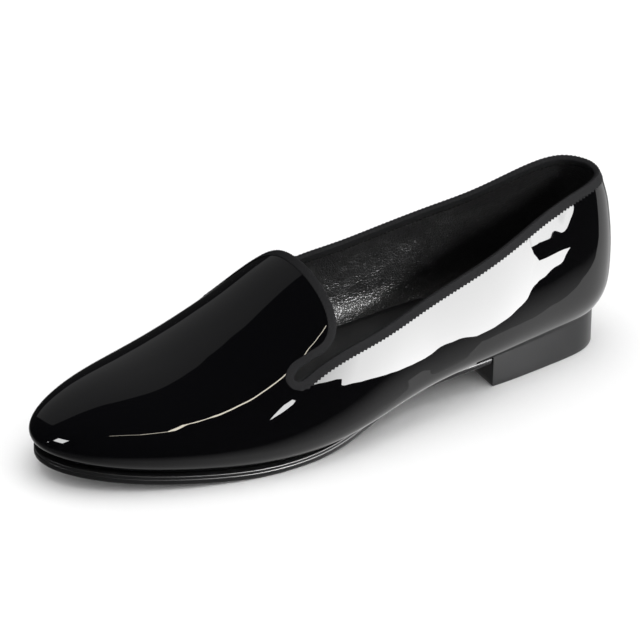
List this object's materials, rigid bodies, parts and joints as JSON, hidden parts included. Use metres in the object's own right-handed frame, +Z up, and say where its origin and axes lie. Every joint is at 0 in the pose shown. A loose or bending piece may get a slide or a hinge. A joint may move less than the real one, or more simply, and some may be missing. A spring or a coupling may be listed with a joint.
{
  "type": "opera pump",
  "caption": "Right-foot black patent slip-on dress shoe with a rounded tongue between two throat notches, ribbed topline binding, thin leather sole and low covered heel.",
  "frame": {"origin": "centre of the heel block's flat bottom, on the floor", "axes": "+X towards the toe, +Y towards the inner side of the foot, +Z up"},
  "size_m": [0.262, 0.0882, 0.0759],
  "materials": {
    "patent_leather": "black patent leather, mirror gloss outside, soft matt leather lining inside",
    "ribbon": "black ribbed ribbon, matt",
    "sock_leather": "smooth black leather, satin",
    "sole_leather": "black leather, burnished edge",
    "heel_covering": "dark burnished heel, satin gloss"
  },
  "bodies": {
    "root": {"upper": "patent_leather", "topline_binding": "ribbon", "insole": "sock_leather", "outsole": "sole_leather", "heel_block": "heel_covering"}
  },
  "joints": []
}
